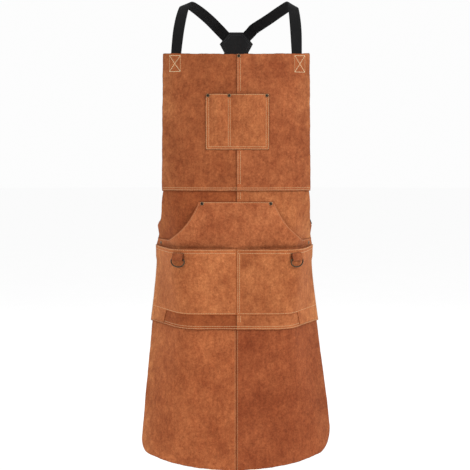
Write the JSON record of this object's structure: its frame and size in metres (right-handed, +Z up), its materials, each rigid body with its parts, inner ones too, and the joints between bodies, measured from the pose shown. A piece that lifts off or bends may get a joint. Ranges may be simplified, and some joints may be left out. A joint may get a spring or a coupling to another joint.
{
  "type": "leather welding apron",
  "caption": "Split-leather bib apron, curved as worn, with chest, hand and tool pockets, two D-rings and crossed webbing back straps with slides and a side-release buckle",
  "frame": {"origin": "about 4 mm above the straps' highest points on the shoulders, between them on the front's centre line; at the mount wearer_shoulders", "axes": "+Z up, the wearer faces -Y, +X to the right of someone who looks at the front"},
  "size_m": [0.5123, 0.2918, 1.2155],
  "materials": {
    "panel_leather": "brown split-cowhide suede, matte and napped",
    "pocket_leather": "lighter orange-brown split-cowhide suede",
    "black_webbing": "black ribbed webbing",
    "black_patch": "black coated cloth",
    "antique_brass": "dark antique plating, worn on its high spots",
    "black_plastic": "black moulded plastic"
  },
  "bodies": {
    "apron": {"bib_panel_left": "panel_leather", "bib_panel_right": "panel_leather", "waist_panel_left": "panel_leather", "waist_panel_right": "panel_leather", "skirt_panel_left": "panel_leather", "skirt_panel_right": "panel_leather", "chest_pocket": "pocket_leather", "kangaroo_pouch": "pocket_leather", "lower_pocket_left": "pocket_leather", "lower_pocket_right": "pocket_leather", "d_ring_tab_left": "pocket_leather", "d_ring_tab_right": "pocket_leather", "side_tab_left": "pocket_leather", "side_tab_right": "pocket_leather", "rivet_bib_top": "antique_brass", "rivet_chest_left": "antique_brass", "rivet_chest_divider": "antique_brass", "rivet_chest_right": "antique_brass", "rivet_pouch_left": "antique_brass", "rivet_pouch_right": "antique_brass", "rivet_side_left": "antique_brass", "rivet_side_right": "antique_brass", "cross_strap_left_shoulder": "black_webbing", "cross_strap_right_shoulder": "black_webbing", "strap_return_left": "black_webbing", "strap_return_right": "black_webbing", "cross_patch_inner": "black_patch", "cross_patch_outer": "black_patch", "hip_loop": "black_plastic", "buckle_female": "black_plastic", "buckle_male": "black_plastic"},
    "ring_left": {"d_ring_left": "antique_brass"},
    "ring_right": {"d_ring_right": "antique_brass"},
    "slide_left": {"strap_adjuster_left": "black_plastic"},
    "slide_right": {"strap_adjuster_right": "black_plastic"},
    "prong_front": {"buckle_prong_front": "black_plastic"},
    "prong_rear": {"buckle_prong_rear": "black_plastic"}
  },
  "joints": [
    {"name": "ring_left_swing", "type": "hinge", "parent": "apron", "child": "ring_left", "pos_m": [-0.14905, -0.01271, -0.67], "axis": [-0.8364, 0.5481, 0], "range_deg": [0, 140]},
    {"name": "ring_right_swing", "type": "hinge", "parent": "apron", "child": "ring_right", "pos_m": [0.15414, -0.00812, -0.67], "axis": [-0.7611, -0.6487, 0], "range_deg": [0, 140]},
    {"name": "strap_left_adjust", "type": "slide", "parent": "apron", "child": "slide_left", "axis": [0.3757, 0, 0.9267], "range_m": [-0.04, 0.05], "deforming": ["strap_return_left"]},
    {"name": "strap_right_adjust", "type": "slide", "parent": "apron", "child": "slide_right", "axis": [-0.3757, 0, 0.9267], "range_m": [-0.04, 0.05], "deforming": ["strap_return_right"]},
    {"name": "prong_front_squeeze", "type": "hinge", "parent": "apron", "child": "prong_front", "pos_m": [0.18605, 0.16712, -0.55331], "axis": [-0.9098, 0.1391, -0.3911], "range_deg": [0, 8], "stiffness_Nm_per_rad": 0.3},
    {"name": "prong_rear_squeeze", "type": "hinge", "parent": "apron", "child": "prong_rear", "pos_m": [0.17936, 0.14675, -0.54497], "axis": [0.9098, -0.1391, 0.3911], "range_deg": [0, 8], "stiffness_Nm_per_rad": 0.3}
  ],
  "couplings": [
    {"joint": "prong_rear_squeeze", "follows": "prong_front_squeeze", "ratio": 1}
  ]
}
